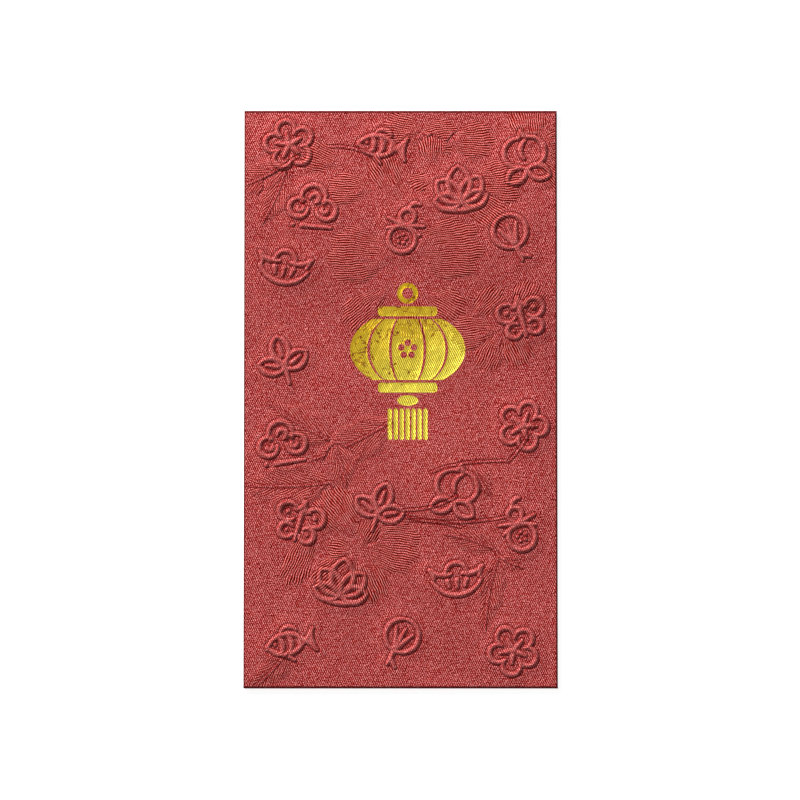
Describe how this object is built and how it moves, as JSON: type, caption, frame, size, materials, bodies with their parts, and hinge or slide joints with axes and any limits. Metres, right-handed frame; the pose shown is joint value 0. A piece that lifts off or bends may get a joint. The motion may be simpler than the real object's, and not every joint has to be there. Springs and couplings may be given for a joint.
{
  "type": "red envelope",
  "caption": "Upright red paper gift envelope with a fold-down peel-and-seal flap, embossed puffy ornaments and a stamped gold foil lantern on its front.",
  "frame": {"origin": "under the middle of the envelope, on the surface that it lies on", "axes": "+Y up the envelope towards the flap's fold, +X to the right of the front, +Z out of the front face"},
  "size_m": [0.09, 0.166, 0.002],
  "materials": {
    "red_paper": "satin",
    "gold_foil": "satin",
    "dried_glue": "satin",
    "adhesive_tape": "satin",
    "release_paper": "satin"
  },
  "bodies": {
    "pocket": {"front_panel": "red_paper", "left_fold": "red_paper", "right_fold": "red_paper", "back_panel": "red_paper", "side_glue_flap": "red_paper", "side_glue": "dried_glue", "bottom_fold": "red_paper", "bottom_flap": "red_paper", "bottom_glue": "dried_glue", "foil_loop": "gold_foil", "foil_cap": "gold_foil", "foil_gore_left_outer": "gold_foil", "foil_gore_left_inner": "gold_foil", "foil_gore_middle": "gold_foil", "foil_gore_right_inner": "gold_foil", "foil_gore_right_outer": "gold_foil", "foil_base": "gold_foil", "foil_knot": "gold_foil", "foil_tassel": "gold_foil"},
    "flap": {"top_fold": "red_paper", "top_flap": "red_paper", "flap_tape": "adhesive_tape"},
    "liner": {"release_liner": "release_paper"}
  },
  "joints": [
    {"name": "flap_hinge", "type": "hinge", "parent": "pocket", "child": "flap", "pos_m": [0, 0.08227, 0.00073], "axis": [1, 0, 0], "range_deg": [0, 180], "deforming": ["top_fold"]},
    {"name": "liner_peel", "type": "slide", "parent": "flap", "child": "liner", "axis": [1, 0, 0], "range_m": [0, 0.08]}
  ]
}
